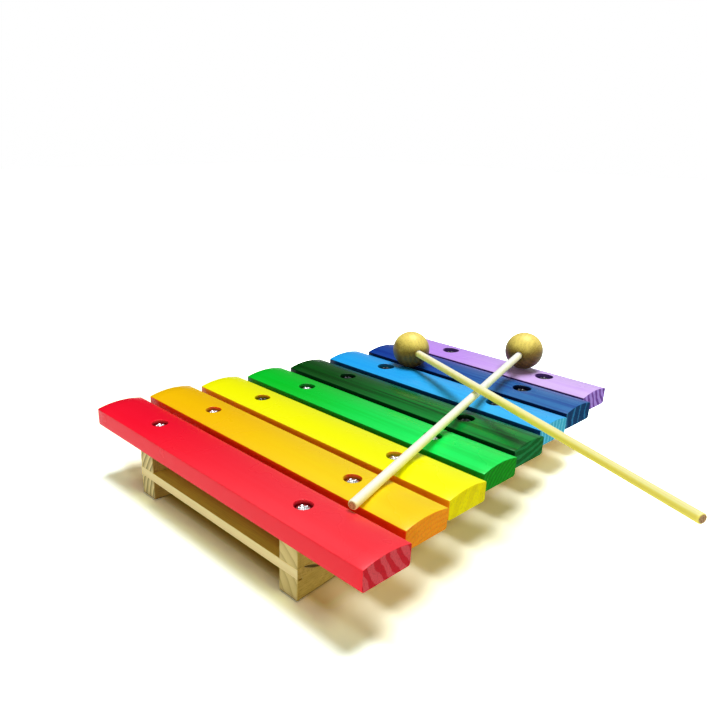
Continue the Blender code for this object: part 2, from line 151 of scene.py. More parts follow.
def grain_point(tree, along="Y", own=False):
    """The surface point in the piece's own space, turned so that the grain runs along Y."""
    point = stored(tree, "own", "Vector") if own else add_node(tree, "ShaderNodeTexCoord").outputs["Object"]
    parts = parts_of(tree, point)
    order = {"X": (1, 0, 2), "Y": (0, 1, 2), "Z": (0, 2, 1)}[along]
    turned_parts = {place: parts[part] for place, part in enumerate(order)}
    return add_node(tree, "ShaderNodeCombineXYZ", turned_parts).outputs[0]


def clouds(tree, point, scale, detail=2.0, rough=0.5):
    """Noise from 0 to 1. The scale is in features per metre, one number or three."""
    if not isinstance(scale, tuple):
        scale = (scale, scale, scale)
    place = calc_vector(tree, "MULTIPLY", point, scale)
    inputs = {"Vector": place, "Scale": 1.0, "Detail": detail, "Roughness": rough}
    return add_node(tree, "ShaderNodeTexNoise", inputs).outputs[0]


def ring_turn(tree, point, pith, width, waver=1.2):
    """From 0 to 1 over and over, once for every growth ring round the pith."""
    place = calc_vector(tree, "MULTIPLY", point, (90, 9, 90))
    inputs = {"Vector": place, "Scale": 1.0, "Detail": 2.0}
    warp = add_node(tree, "ShaderNodeTexNoise", inputs).outputs["Color"]
    sway = waver * width
    moved = calc_vector(tree, "ADD", point, calc_vector(tree, "MULTIPLY", warp, (sway, 0.0, sway)))
    centred = calc_vector(tree, "SUBTRACT", moved, (pith[0] + sway / 2, 0.0, pith[1] + sway / 2))
    across = calc_vector(tree, "MULTIPLY", centred, (1.0, 0.03, 1.0))
    distance = add_node(tree, "ShaderNodeVectorMath", {0: across}, operation="LENGTH").outputs["Value"]
    return calc(tree, "FRACT", calc(tree, "DIVIDE", distance, width))


def late_wood(tree, turn, thin):
    """From 0 in pale spring wood up to 1 in dark summer wood, with a sudden end to each ring."""
    return calc(tree, "MULTIPLY", calc(tree, "POWER", turn, thin), span(tree, turn, 0.90, 1.0, 1.0, 0.0))


def soft_wave(tree, turn):
    """From 0 up to 1 and back, once in each ring."""
    wave = calc(tree, "COSINE", calc(tree, "MULTIPLY", turn, math.tau))
    return calc(tree, "MULTIPLY_ADD", wave, -0.5, 0.5)


def new_material(name):
    """An empty material's tree with its shader, and the finished material."""
    material = bpy.data.materials.new(name)
    material.use_nodes = True
    return material, material.node_tree, material.node_tree.nodes["Principled BSDF"]


def set_inputs(tree, shader, **values):
    """Sets a shader's inputs to values or outputs, by their names with _ for each space."""
    for name, value in values.items():
        target = shader.inputs[name.replace("_", " ")]
        if isinstance(value, bpy.types.NodeSocket):
            tree.links.new(value, target)
        else:
            target.default_value = value


def bump(tree, height, distance, strength=1.0, over=None):
    """A normal from a height of 0 to 1, over a distance in metres, and on top of another one if given."""
    inputs = {"Height": height, "Distance": distance, "Strength": strength}
    if over:
        inputs["Normal"] = over
    return add_node(tree, "ShaderNodeBump", inputs).outputs[0]


def sprayed_colour(tree, point, length, far, near, shaded_flank, streakiness, bands, patches):
    """Streaky paint on the top, with a painted sheen at the near end and painted shade on the flanks."""
    deep = tuple(0.97 * part ** 1.25 for part in far)
    along = parts_of(tree, point)["Y"]
    # Painted sheen: the top turns to the paler near colour towards the near end
    colour = tint(tree, near, along, -0.35 * length, 0.35 * length, far)
    colour = tint(tree, colour, patches, 0.35, 0.75, deep, 0.15)
    colour = tint(tree, colour, bands, 0.42, 0.66, deep, streakiness)
    facing = facing_of(tree)
    # Painted shade between the bars: the flanks take the dark flank colour, less of it where they face the
    # high notes
    less_shaded_flank = tuple(0.75 * part + 0.25 * dim for part, dim in zip(far, shaded_flank))
    flanks = tint(tree, shaded_flank, facing["X"], -0.3, 0.3, less_shaded_flank)
    return tint(tree, colour, facing["Z"], 0.70, 0.40, flanks), facing["Z"]


def sawn_colour(tree, point, wave, fibres, pores, end_colour, streak_colour, streaks):
    """Paint that has soaked into a sawn end, where the growth rings show as streaks."""
    grown = calc(tree, "MULTIPLY_ADD", calc(tree, "SUBTRACT", fibres, 0.5), 0.5, wave)
    colour = tint(tree, end_colour, grown, 0.92 - streaks, 1.12 - streaks, streak_colour)
    soaked = tuple(0.50 * part for part in end_colour)
    blotches = clouds(tree, point, (1000, 500, 700), 3.0, 0.7)
    colour = tint(tree, colour, pores, 0.50, 0.72, soaked, 0.50)
    return tint(tree, colour, blotches, 0.50, 0.64, soaked, 0.30)


def paint_material(name, length, far, near, shaded_flank, streakiness, end_colour, streak_colour, pith, ring,
                   streaks):
    """Sprayed gloss over softwood: smooth on top, soaked up at the ends, matt in the holes, thin below.
    The holes' walls are painted dark as shade, and the top and flanks carry painted sheen and shade.
    """
    material, tree, shader = new_material(name)
    point = grain_point(tree)
    wave = soft_wave(tree, ring_turn(tree, point, (pith[0] * MM, pith[1] * MM), ring * MM))
    fibres = clouds(tree, point, (2600, 70, 2600), 3.0)
    bands = clouds(tree, point, (330, 7, 330), 3.0)
    patches = clouds(tree, point, 38, 3.0)
    peel = clouds(tree, point, (900, 500, 900), 2.0)
    pores = clouds(tree, point, (2300, 900, 1500), 4.0, 0.7)
    ragged = calc(tree, "MULTIPLY", calc(tree, "SUBTRACT", pores, 0.5), 0.9)
    on_end = span(tree, calc(tree, "ADD", stored(tree, "end"), ragged), 0.45, 0.75)
    top, up = sprayed_colour(tree, point, length, far, near, shaded_flank, streakiness, bands, patches)
    bare = tint(tree, (0.60, 0.44, 0.18), fibres, 0.35, 0.75, (0.46, 0.31, 0.10))
    under = calc(tree, "ADD", up, calc(tree, "MULTIPLY", calc(tree, "SUBTRACT", patches, 0.5), 0.5))
    top = tint(tree, top, under, -0.55, -0.85, bare, 0.88)
    bore = stored(tree, "bore")
    # Painted shade in the holes: their walls take a dark copy of the end colour
    shaded_bore_colour = tuple(0.40 * part ** 1.3 for part in end_colour)
    top = mix(tree, calc(tree, "MULTIPLY", bore, 0.95), top, shaded_bore_colour)
    end = sawn_colour(tree, point, wave, fibres, pores, end_colour, streak_colour, streaks)
    height = calc(tree, "MULTIPLY_ADD", fibres, 0.25, calc(tree, "MULTIPLY", bands, 0.6))
    on_top = bump(tree, calc(tree, "MULTIPLY_ADD", peel, 0.5, height), PAINT_RELIEF)
    end_height = calc(tree, "MULTIPLY_ADD", wave, 0.4, pores)
    soaked_up = calc(tree, "MAXIMUM", on_end, bore)
    gloss = span(tree, patches, 0.2, 0.8, 0.20, 0.30)
    set_inputs(
        tree, shader,
        Base_Color=mix(tree, on_end, top, end),
        Roughness=calc(tree, "MULTIPLY_ADD", soaked_up, 0.25, gloss),
        Specular_IOR_Level=calc(tree, "MULTIPLY_ADD", soaked_up, -0.19, 0.21),
        Normal=bump(tree, end_height, SAWN_RELIEF, on_end, on_top),
    )
    return material


def arc(centre, radius, start, end, steps):
    """Points along an arc, from one turn to another in radians."""
    turns = [start + (end - start) * step / steps for step in range(steps + 1)]
    return [(centre[0] + radius * math.cos(turn), centre[1] + radius * math.sin(turn)) for turn in turns]


def add_object(name, data):
    """Puts a mesh, a lamp or a camera into the scene."""
    added = bpy.data.objects.new(name, data)
    bpy.context.scene.collection.objects.link(added)
    return added


def add_piece(name, verts, faces, material, body, nodes, place=(0, 0, 0), sharp=35, shares=None,
              own=None):
    """Builds a piece's mesh, sets it in its place, hands it to the body and hides the parts it stands in
    for.

    Shares are named values for every point. Own is every point in the piece's own space, for its grain.
    Edges sharper than an angle in degrees stay sharp.
    """
    mesh = bpy.data.meshes.new(name)
    mesh.from_pydata([tuple(vert) for vert in verts], [], faces)
    for key, values in (shares or {}).items():
        mesh.attributes.new(key, "FLOAT", "POINT").data.foreach_set("value", values)
    if own:
        mesh.attributes.new("own", "FLOAT_VECTOR", "POINT").data.foreach_set("vector", np.ravel(own))
    shape = bmesh.new()
    shape.from_mesh(mesh)
    bmesh.ops.recalc_face_normals(shape, faces=shape.faces)
    shape.to_mesh(mesh)
    shape.free()
    mesh.shade_smooth()
    mesh.set_sharp_from_angle(angle=math.radians(sharp))
    mesh.materials.append(material)
    piece = add_object(name, mesh)
    piece.location = place
    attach(piece, body)
    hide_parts(*nodes)
    return piece


def wander(x, y, z):
    """Smooth noise from 0 to 1."""
    return 0.5 + 0.5 * noise.noise(Vector((x, y, z)))


def patch_steps():
    """The places of the finer points across a hole's patch, from its middle."""
    return [-HOLE_PATCH + 2 * HOLE_PATCH * step / HOLE_PATCH_STEPS for step in range(HOLE_PATCH_STEPS + 1)]


def bar_section(half_width):
    """A bar's outline in section, in four runs, the top's first patch point, and its crown as a function."""
    rise, edge, foot = BAR_CROWN_RISE, BAR_TOP_RADIUS, BAR_FOOT_RADIUS
    crown_radius = (half_width ** 2 + rise ** 2) / (2 * rise)
    crown_centre = BAR_SIDE_HEIGHT + rise - crown_radius
    out = half_width - edge
    edge_rise = math.sqrt((crown_radius - edge) ** 2 - out ** 2)
    edge_height = crown_centre + edge_rise
    lean = math.atan2(edge_rise, out)
    crown_end = crown_radius * math.cos(lean)
    spread = (crown_end - HOLE_PATCH) / 3
    outer = [HOLE_PATCH + spread * step for step in (1, 2, 3)]
    columns = [-x for x in reversed(outer)] + patch_steps() + outer

    def crown(x):
        return crown_centre + math.sqrt(crown_radius ** 2 - x ** 2)

    left = arc((-out, edge_height), edge, math.pi - lean / 2, math.pi - lean, 3)[:-1]
    right = arc((out, edge_height), edge, lean, lean / 2, 3)[1:]
    top = left + [(x, crown(x)) for x in columns] + right
    foot_out = half_width - foot
    quarter = math.pi / 4
    down = arc((out, edge_height), edge, lean / 2, 0.0, 3)[1:]
    down += [(half_width, edge_height + (foot - edge_height) * step / 4) for step in (1, 2, 3, 4)]
    down += arc((foot_out, foot), foot, 0.0, -quarter, 3)[1:-1]
    under = arc((foot_out, foot), foot, -quarter, -2 * quarter, 3)[:-1]
    under += [(-x * foot_out / crown_end, 0.0) for x in columns]
    under += arc((-foot_out, foot), foot, -2 * quarter, -3 * quarter, 3)[1:]
    up = [(-x, z) for x, z in reversed(down)]
    return (top, down, under, up), len(left) + len(outer), crown


def bar_stations(length, holes):
    """Places along a bar, each with the inset of the rounded end there and how much of it is end grain."""
    half = length / 2
    rim = []
    for bend in (0.0, 0.45, 0.95, math.pi / 2):
        inset, deep = BAR_END_RADIUS * (1 - math.sin(bend)), BAR_END_RADIUS * (1 - math.cos(bend))
        rim.append((deep, inset, 1 - bend / (math.pi / 2)))
    inner = []
    for middle in holes:
        inner += [middle + step for step in patch_steps()]
    gaps = [
        (-half + BAR_END_RADIUS, inner[0]),
        (inner[HOLE_PATCH_STEPS], inner[HOLE_PATCH_STEPS + 1]),
        (inner[-1], half - BAR_END_RADIUS),
    ]
    for start, end in gaps:
        parts = max(2, round((end - start) / BAR_STATION_STEP))
        inner = inner + [start + (end - start) * part / parts for part in range(1, parts)]
    stations = [(-half + deep, inset, share) for deep, inset, share in rim]
    stations += [(y, 0.0, 0.0) for y in sorted(inner)]
    return stations + [(half - deep, inset, share) for deep, inset, share in reversed(rim)]


def end_faces(row, across, tall, y, verts, settle):
    """Closes a sawn end with a grid between the top and the underside."""
    under_row = row[across + tall - 1:2 * across + tall - 1][::-1]
    top_left, top_right = Vector(verts[row[0]]), Vector(verts[row[across - 1]])
    low_left, low_right = Vector(verts[under_row[0]]), Vector(verts[under_row[-1]])
    grid = [row[:across]]
    for level in range(1, tall):
        share = level / tall
        right_vert, left_vert = row[across + level - 1], row[-level]
        left, right = Vector(verts[left_vert]), Vector(verts[right_vert])
        line = [left_vert]
        for place in range(1, across - 1):
            along = place / (across - 1)
            above, below = Vector(verts[row[place]]), Vector(verts[under_row[place]])
            flat = above * (1 - share) + below * share + left * (1 - along) + right * along
            flat -= (top_left * (1 - along) + top_right * along) * (1 - share)
            flat -= (low_left * (1 - along) + low_right * along) * share
            line.append(settle(flat.x, y, flat.z, Vector((0, 0)), 1.0))
        grid.append(line + [right_vert])
    grid.append(under_row)
    faces = []
    for upper, lower in zip(grid, grid[1:]):
        faces += [(upper[i], upper[i + 1], lower[i + 1], lower[i]) for i in range(across - 1)]
    return faces


def hole_faces(border, middle, bore_radius, crown, verts, settle):
    """Sinks a hole in its patch, whose border turns into rings, a small lip, the wall and the floor."""
    turns = [math.atan2(verts[vert][1] - middle, verts[vert][0]) for vert in border]
    lip_radius = bore_radius + COUNTERBORE_LIP
    rings = [border]
    for share in (0.35, 0.65, 0.86, 1.0):
        ring = []
        for vert, turn in zip(border, turns):
            x = verts[vert][0] * (1 - share) + lip_radius * math.cos(turn) * share
            y = verts[vert][1] * (1 - share) + (middle + lip_radius * math.sin(turn)) * share
            ring.append(settle(x, y, crown(x), Vector((0, -1)), 0.0))
        rings.append(ring)
    for bend in (0.4, 0.9, math.pi / 2):
        radius = lip_radius - COUNTERBORE_LIP * math.sin(bend)
        drop = COUNTERBORE_LIP * (1 - math.cos(bend))
        ring = []
        for turn in turns:
            x, y = radius * math.cos(turn), radius * math.sin(turn)
            ring.append(settle(x, middle + y, crown(x) - drop, Vector((0, -1)), 0.0))
        rings.append(ring)
    for height, share in ((0.5, 1.0), (0.05, 1.0), (0.0, 0.95), (0.0, 0.5), (0.0, 0.1)):
        ring = []
        for turn in turns:
            x, y = bore_radius * share * math.cos(turn), bore_radius * share * math.sin(turn)
            mouth = crown(bore_radius * math.cos(turn)) - COUNTERBORE_LIP
            z = COUNTERBORE_FLOOR + (mouth - COUNTERBORE_FLOOR) * height
            ring.append(settle(x, middle + y, z, Vector((0, 0)), 0.0, 1.0))
        rings.append(ring)
    faces = []
    for wide, narrow in zip(rings, rings[1:]):
        faces += [(wide[i - 1], wide[i], narrow[i], narrow[i - 1]) for i in range(len(wide))]
    return faces + [tuple(rings[-1])]


def ways_inward(loop):
    """The way into the wood at every point of a closed outline."""
    ways = []
    for index, behind in enumerate(loop[-1:] + loop[:-1]):
        ahead = loop[(index + 1) % len(loop)]
        ways.append(Vector((ahead[1] - behind[1], behind[0] - ahead[0])).normalized())
    return ways


def hole_windows(stations, holes):
    """For every hole, the first and the last station of its patch, and its middle."""
    windows = []
    for middle in holes:
        inside = [row for row, place in enumerate(stations) if abs(place[0] - middle) < HOLE_PATCH * 1.001]
        windows.append((inside[0], inside[-1], middle))
    return windows


def strip_faces(rows, windows, first, last):
    """Joins each outline of a bar to the next, and leaves the holes' patches open."""
    faces = []
    for row, (near, far) in enumerate(zip(rows, rows[1:])):
        holed = any(start <= row < end for start, end, _ in windows)
        for index in range(len(near)):
            if not (holed and first <= index < last):
                after = (index + 1) % len(near)
                faces.append((near[index], near[after], far[after], far[index]))
    return faces


def bar_mesh(half_width, length, holes, bore_radius, seed):
    """One bar about its own middle, its underside at zero: points, faces, and shares of end and of bore."""
    runs, first, crown = bar_section(half_width)
    last = first + HOLE_PATCH_STEPS
    loop = sum(runs, [])
    across, tall = len(runs[0]), len(runs[1]) + 1
    inward = ways_inward(loop)
    stations = bar_stations(length, holes)
    windows = hole_windows(stations, holes)
    verts, ends, bores = [], [], []

    def settle(x, y, z, direction, share, bore=0.0):
        """Keeps a point, sanded back a little and, at the ends, roughened along the bar."""
        back = BAR_SANDING * wander(x * 60, y * 25, z * 60 + seed)
        rough = BAR_RAGGEDNESS * share * wander(x * 700, z * 700, seed)
        verts.append((x + direction.x * back, y - math.copysign(rough, y), z + direction.y * back))
        ends.append(share)
        bores.append(bore)
        return len(verts) - 1

    rows = []
    for y, inset, share in stations:
        row = []
        for (x, z), way in zip(loop, inward):
            row.append(settle(x + way.x * inset, y, z + way.y * inset, way, share))
        rows.append(row)
    faces = strip_faces(rows, windows, first, last)
    for row in (0, -1):
        faces += end_faces(rows[row], across, tall, stations[row][0], verts, settle)
    for start, end, middle in windows:
        border = [rows[start][column] for column in range(first, last)]
        border += [rows[row][last] for row in range(start, end)]
        border += [rows[end][column] for column in range(last, first, -1)]
        border += [rows[row][first] for row in range(end, start, -1)]
        faces += hole_faces(border, middle, bore_radius, crown, verts, settle)
    return verts, faces, {"end": ends, "bore": bores}


for number, (finish, *looks) in enumerate(BARS, 1):
    node = f"bar_{number}_{finish}"
    low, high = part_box(node)
    middle = (low + high) / 2
    holes = []
    for row in ("front", "back"):
        screw_low, screw_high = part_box(f"screw_{row}_{number}")
        holes.append((screw_low.y + screw_high.y) / 2 - middle.y)
    length = high.y - low.y
    bore_radius = COUNTERBORE_RADII[number - 1]
    verts, faces, shares = bar_mesh((high.x - low.x) / 2, length, holes, bore_radius, number * 7.3)
    paint = paint_material(finish + "_gloss", length, *looks)
    place = (middle.x, middle.y, low.z)
    add_piece(finish + "_bar", verts, faces, paint, "stand", [node], place, shares=shares)

# Screws
# Bright zinc-plated wood screws with pan heads and a cross recess, sunk in the bars' counterbores.
# Their shanks go down through the bars into the rails, out of sight.
SCREW_HEAD_RADIUS = 3.7 * MM
SCREW_HEAD_HEIGHT = 2.4 * MM
SCREW_RIM_HEIGHT = 0.9 * MM
SCREW_SHANK_RADIUS = 1.75 * MM
SCREW_POINT = 3.0 * MM
RECESS_REACH = 2.15 * MM
RECESS_HALF_WIDTH = 0.50 * MM
RECESS_DEPTH = 1.5 * MM
SCREW_EDGE = 0.1 * MM
SCREW_TIP_RADIUS = 0.02 * MM
SCREW_SEGMENTS = 72
SCREW_DOME_RINGS = 34
SCRATCH_DEPTH = 0.008 * MM
# The screws of the four short bars, and one of the yellow bar's, are painted near black as the shade in
# their holes
LAST_BRIGHT_BAR = 4
ALSO_IN_SHADE = "screw_back_3"
# Every screw stopped at another turn when it was tight
TURN_AT_FIRST = 20
TURN_FROM_ONE_TO_NEXT = 137.5


def steel_material(name, bright, dull):
    """Plated steel with fine scratches, and duller in smudges."""
    material, tree, shader = new_material(name)
    point = grain_point(tree)
    scratches = clouds(tree, point, (5200, 900, 2400), 3.0, 0.6)
    smudges = clouds(tree, point, 520, 2.0)
    set_inputs(
        tree, shader,
        Base_Color=tint(tree, bright, smudges, 0.3, 0.7, dull),
        Metallic=1.0,
        Roughness=span(tree, scratches, 0.2, 0.8, 0.14, 0.34),
        Normal=bump(tree, scratches, SCRATCH_DEPTH),
    )
    return material


def turned(profile, segments, tweak=None):
    """Points and faces of a solid turned round Z from (radius, height) pairs, closed at both ends."""
    verts, faces, rings = [], [], []
    for radius, height in profile:
        rings.append([])
        for index in range(segments):
            turn = math.tau * index / segments
            x, y, z = radius * math.cos(turn), radius * math.sin(turn), height
            rings[-1].append(len(verts))
            verts.append(tweak(x, y, z) if tweak else (x, y, z))
    for lower, upper in zip(rings, rings[1:]):
        faces += [(lower[i - 1], lower[i], upper[i], upper[i - 1]) for i in range(segments)]
    faces += [tuple(rings[0]), tuple(rings[-1])]
    return verts, faces


def screw_point(x, y, z):
    """Shapes the head's top, which is turned flat, into a low dome with a cross pressed into it."""
    if z < SCREW_HEAD_HEIGHT:
        return (x, y, z)
    off = min(1.0, math.hypot(x, y) / SCREW_HEAD_RADIUS)
    bulge = math.sqrt(max(0.0, 1 - off ** 2.4))
    dome = SCREW_RIM_HEIGHT + (SCREW_HEAD_HEIGHT - SCREW_RIM_HEIGHT) * bulge
    deepest = 0.0
    for along, across in ((abs(x), abs(y)), (abs(y), abs(x))):
        side = min(1.0, max(0.0, (RECESS_HALF_WIDTH * 1.25 - across) / (RECESS_HALF_WIDTH * 0.5)))
        end = min(1.0, max(0.0, (RECESS_REACH - along) / (RECESS_REACH * 0.75)))
        deepest = max(deepest, side * end)
    return (x, y, dome - RECESS_DEPTH * deepest)


def screw_mesh(shank_length):
    """A screw about its own axis, the underside of its head at zero."""
    profile = [(SCREW_TIP_RADIUS, -shank_length), (SCREW_SHANK_RADIUS, SCREW_POINT - shank_length)]
    profile += [(SCREW_SHANK_RADIUS, 0.0), (SCREW_HEAD_RADIUS - SCREW_EDGE, 0.0)]
    profile += [(SCREW_HEAD_RADIUS, SCREW_EDGE)]
    for step in range(SCREW_DOME_RINGS):
        profile.append((SCREW_HEAD_RADIUS * (1 - step / (SCREW_DOME_RINGS + 0.5)), SCREW_HEAD_HEIGHT))
    return turned(profile, SCREW_SEGMENTS, screw_point)


zinc = steel_material("bright_zinc", (0.90, 0.90, 0.89), (0.66, 0.67, 0.69))
# Painted shade: near-black zinc for the screws whose holes lie in deep shade
zinc_in_shade = steel_material("zinc_dark_as_shade", (0.14, 0.14, 0.15), (0.07, 0.07, 0.08))
for row, side in (("front", -1), ("back", 1)):
    for number in range(1, len(BARS) + 1):
        node = f"screw_{row}_{number}"
        low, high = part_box(node)
        place = ((low.x + high.x) / 2, (low.y + high.y) / 2, high.z - SCREW_HEAD_HEIGHT)
        verts, faces = screw_mesh(high.z - SCREW_HEAD_HEIGHT - low.z)
        metal = zinc_in_shade if number > LAST_BRIGHT_BAR or node == ALSO_IN_SHADE else zinc
        screw = add_piece("zinc_" + node, verts, faces, metal, "stand", [node], place, 40)
        turn = TURN_FROM_ONE_TO_NEXT * (2 * number + side) + TURN_AT_FIRST
        screw.rotation_euler = (0.0, 0.0, math.radians(turn))

# Rails
# Two battens of planed pine, not painted, that stand on their narrow edges and carry all the bars.
# They draw together towards the short bars. The saw left fine marks on their sides and ends.
RAIL_WIDTH = 12.0 * MM
RAIL_ARRIS = 0.6 * MM
RAIL_WEAR = 0.10 * MM
SLOT_CLEARANCE = 0.02 * MM
# The chip in the front rail: from where to where along it, and its height below the slot
CHIP_LENGTH = (0.9 * MM, 3.4 * MM)
CHIP_HEIGHT = 1.1 * MM
CHIP_DEPTH = 0.9 * MM
# From where to where the saw marks, the greyer foot of the ends and the painted contact shadow along the
# foot
# set in: up from the foot, or along from the rail's middle
SAW_MARKS_UP = (13.5 * MM, 17.0 * MM)
SAW_MARKS_ALONG = (117.2 * MM, 119.6 * MM)
GREY_FOOT = (1.6 * MM, 4.6 * MM)
CONTACT_SHADOW_RIM = (-0.4 * MM, 0.6 * MM)
PINE_RELIEF = 0.08 * MM
# How far apart the points of the rails' faces lie, and where the first ones lie inside the rounded edge
FINE_STEP = 0.45 * MM
SLOT_STEP = 0.35 * MM
PLAIN_STEP = 1.2 * MM
THICK_STEP = 1.6 * MM
LONG_STEP = 4.0 * MM
FIRST_UP = 0.8 * MM
FIRST_ACROSS = 1.2 * MM
# For each rail: its pith in the section and its rings' width, both in millimetres, how thin the summer wood
# is, the pale and the dark colour of its ends, and those of its sides, which are darker in part as painted
# shade
PINES = {
    "front_rail": (
        (4.6, -7.3), 5.25, 3.0,
        (0.74, 0.60, 0.26), (0.42, 0.31, 0.11), (0.70, 0.50, 0.12), (0.42, 0.27, 0.045),
    ),
    "back_rail": (
        (43.6, -11), 3.3, 1.3,
        (0.90, 0.76, 0.38), (0.13, 0.09, 0.025), (0.46, 0.28, 0.060), (0.26, 0.14, 0.025),
    ),
}


def faces_along(tree, axis):
    """1 on flat faces that look along an axis of the world, either way, and 0 on the others."""
    return span(tree, calc(tree, "ABSOLUTE", facing_of(tree, "True Normal")[axis]), 0.5, 0.9)


def saw_marks(tree, point, stains):
    """Fine marks across the grain, which show high up and near the rails' ends."""
    across = calc_vector(tree, "MULTIPLY", point, (0.0, 1.0, 0.0))
    waves = {"Vector": across, "Scale": 340.0, "Distortion": 1.2, "Detail": 2.0}
    saw = add_node(tree, "ShaderNodeTexWave", waves, bands_direction="Y").outputs["Fac"]
    own = parts_of(tree, point)
    upper = span(tree, calc(tree, "MULTIPLY_ADD", stains, 3 * MM, own["Z"]), *SAW_MARKS_UP)
    near_end = span(tree, calc(tree, "ABSOLUTE", own["Y"]), *SAW_MARKS_ALONG)
    return calc(tree, "MULTIPLY", calc(tree, "MULTIPLY", upper, near_end), saw)


def pine_material(name, pith, ring, thin, pale, dark, shaded_side_wood, shaded_side_dark):
    """Bare pine with the grain along X: pale sawn ends crossed by growth rings, and darker long sides.
    The long sides are darker in part as painted shade, and a painted contact shadow runs along the foot.
    """
    material, tree, shader = new_material(name)
    point = grain_point(tree, "X")
    up = parts_of(tree, point)["Z"]
    rings = late_wood(tree, ring_turn(tree, point, (pith[0] * MM, pith[1] * MM), ring * MM, 0.35), thin)
    fibres = clouds(tree, point, (3200, 55, 3200), 4.0, 0.6)
    stains = clouds(tree, point, (60, 14, 60), 3.0)
    pores = clouds(tree, point, 2600, 3.0, 0.7)
    end = tint(tree, pale, pores, 0.45, 0.80, dark, 0.30)
    end = mix(tree, calc(tree, "MULTIPLY", rings, 0.92), end, dark)
    foot = calc(tree, "MULTIPLY_ADD", pores, 2.5 * MM, up)
    end = mix(tree, span(tree, foot, *GREY_FOOT, 0.55, 0.0), end, (0.50, 0.36, 0.22))
    # The long sides' colours are darker than the ends, in part as painted shade under the bars
    long = tint(tree, shaded_side_wood, fibres, 0.35, 0.75, shaded_side_dark)
    long = mix(tree, calc(tree, "MULTIPLY", rings, 0.35), long, shaded_side_dark)
    long = tint(tree, long, stains, 0.40, 0.75, shaded_side_dark, 0.5)
    on_end = faces_along(tree, "X")
    wood = mix(tree, on_end, long, end)
    # Painted contact shadow: a dark line along the foot of every face, where the rail meets the ground
    rim = calc(tree, "MULTIPLY_ADD", pores, -1.2 * MM, up)
    wood = mix(tree, span(tree, rim, *CONTACT_SHADOW_RIM, 0.80, 0.0), wood, (0.10, 0.065, 0.030))
    sawn = saw_marks(tree, point, stains)
    on_sides = calc(tree, "SUBTRACT", 0.85, calc(tree, "MULTIPLY", on_end, 0.85))
    wood = mix(tree, calc(tree, "MULTIPLY", sawn, on_sides), wood, shaded_side_dark)
    height = calc(tree, "MULTIPLY_ADD", rings, 0.4, calc(tree, "MULTIPLY_ADD", pores, 0.5, fibres))
    set_inputs(
        tree, shader,
        Base_Color=wood,
        Roughness=span(tree, fibres, 0.2, 0.8, 0.60, 0.80),
        Specular_IOR_Level=0.25,
        Normal=bump(tree, calc(tree, "MULTIPLY_ADD", sawn, 1.5, height), PINE_RELIEF),
    )
    return material


def lines_between(start, end, step):
    """Grid lines from a start up to, but without, an end, about a step apart."""
    parts = max(1, round((end - start) / step))
    return [start + (end - start) * part / parts for part in range(parts)]


def filled_cells(lines, solid):
    """Which cells of a grid are wood, with one layer of empty cells all round."""
    middles = [[(near + far) / 2 for near, far in zip(axis, axis[1:])] for axis in lines]
    filled = np.zeros([len(axis) + 2 for axis in middles], bool)
    for i, x in enumerate(middles[0], 1):
        for j, y in enumerate(middles[1], 1):
            for k, z in enumerate(middles[2], 1):
                filled[i, j, k] = solid(x, y, z)
    return filled


def block_mesh(size, lines, solid, round_by, wear, seed):
    """A sawn block with one corner at zero, its edges eased. Solid says which cells of the grid are wood."""
    faces, verts, known = [], [], {}

    def corner(i, j, k):
        if (i, j, k) not in known:
            point = Vector((lines[0][i], lines[1][j], lines[2][k]))
            inner = Vector([min(max(point[a], round_by), size[a] - round_by) for a in range(3)])
            away = point - inner
            touching = max(abs(part) for part in away) > round_by * 0.999
            if touching:
                wear_and_shade = wear * wander(point.x * 110, point.y * 300, point.z * 300 + seed)
                corners = sum(abs(part) > round_by * 0.5 for part in away)
                point = inner + away.normalized() * (round_by - wear_and_shade * (1 + corners))
            known[(i, j, k)] = len(verts)
            verts.append(point)
        return known[(i, j, k)]

    filled = filled_cells(lines, solid)
    for i, j, k in zip(*np.nonzero(filled)):
        i, j, k = int(i), int(j), int(k)
        for axis in range(3):
            for side in (0, 1):
                beside = [i, j, k]
                beside[axis] += 2 * side - 1
                if filled[tuple(beside)]:
                    continue
                quad = []
                for u, v in ((0, 0), (1, 0), (1, 1), (0, 1)):
                    steps = [0, 0, 0]
                    steps[axis] = side
                    steps[(axis + 1) % 3] = u
                    steps[(axis + 2) % 3] = v
                    quad.append(corner(i - 1 + steps[0], j - 1 + steps[1], k - 1 + steps[2]))
                faces.append(quad if side else quad[::-1])
    return verts, faces


def eased(length, round_by, *between):
    """Grid lines for one axis: close together in the rounded edges, and the given ones between."""
    near = [0.0, 0.22 * round_by, 0.55 * round_by, round_by]
    return near + sorted(between) + [length - part for part in reversed(near)]


